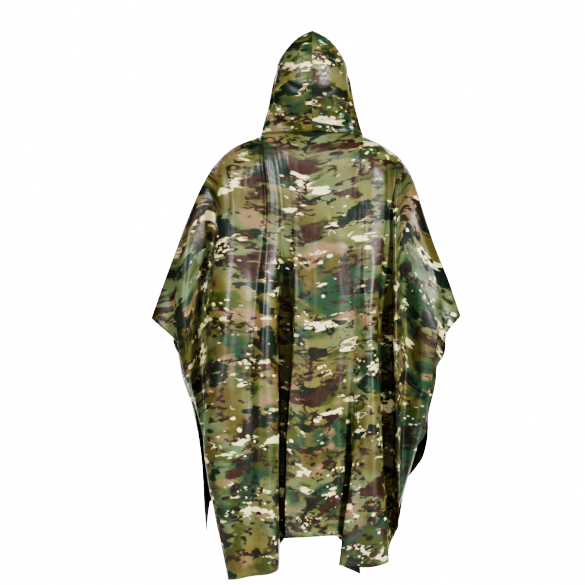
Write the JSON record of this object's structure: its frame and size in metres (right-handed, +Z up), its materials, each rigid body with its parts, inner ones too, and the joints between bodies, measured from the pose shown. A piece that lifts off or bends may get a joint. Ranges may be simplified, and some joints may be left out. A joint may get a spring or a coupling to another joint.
{
  "type": "hooded rain poncho",
  "caption": "Rain poncho with its hood up, hanging open as on a wearer with the arms a little out, camouflage print outside and dark inside, with a press stud on each side edge.",
  "frame": {"origin": "middle of the neck seam, level with the shoulders that carry the poncho", "axes": "+Z up, -Y the way the wearer faces, so +Y is the back panel, and +X the wearer's left side"},
  "size_m": [0.838, 0.392, 1.468],
  "materials": {
    "back_cloth": "satin coated cloth with a camouflage print",
    "front_cloth": "satin coated cloth with a camouflage print",
    "hood_left_cloth": "satin coated cloth with a camouflage print",
    "hood_right_cloth": "satin coated cloth with a camouflage print",
    "stud_cap_left_metal": "satin",
    "stud_cap_right_metal": "satin",
    "stud_clasp_left_metal": "satin",
    "stud_clasp_right_metal": "satin",
    "stud_foot_left_metal": "satin",
    "stud_foot_right_metal": "satin"
  },
  "bodies": {
    "root": {"back": "back_cloth", "front": "front_cloth", "hood_left": "hood_left_cloth", "hood_right": "hood_right_cloth", "stud_cap_left": "stud_cap_left_metal", "stud_cap_right": "stud_cap_right_metal", "stud_clasp_left": "stud_clasp_left_metal", "stud_clasp_right": "stud_clasp_right_metal", "stud_foot_left": "stud_foot_left_metal", "stud_foot_right": "stud_foot_right_metal"}
  },
  "joints": []
}
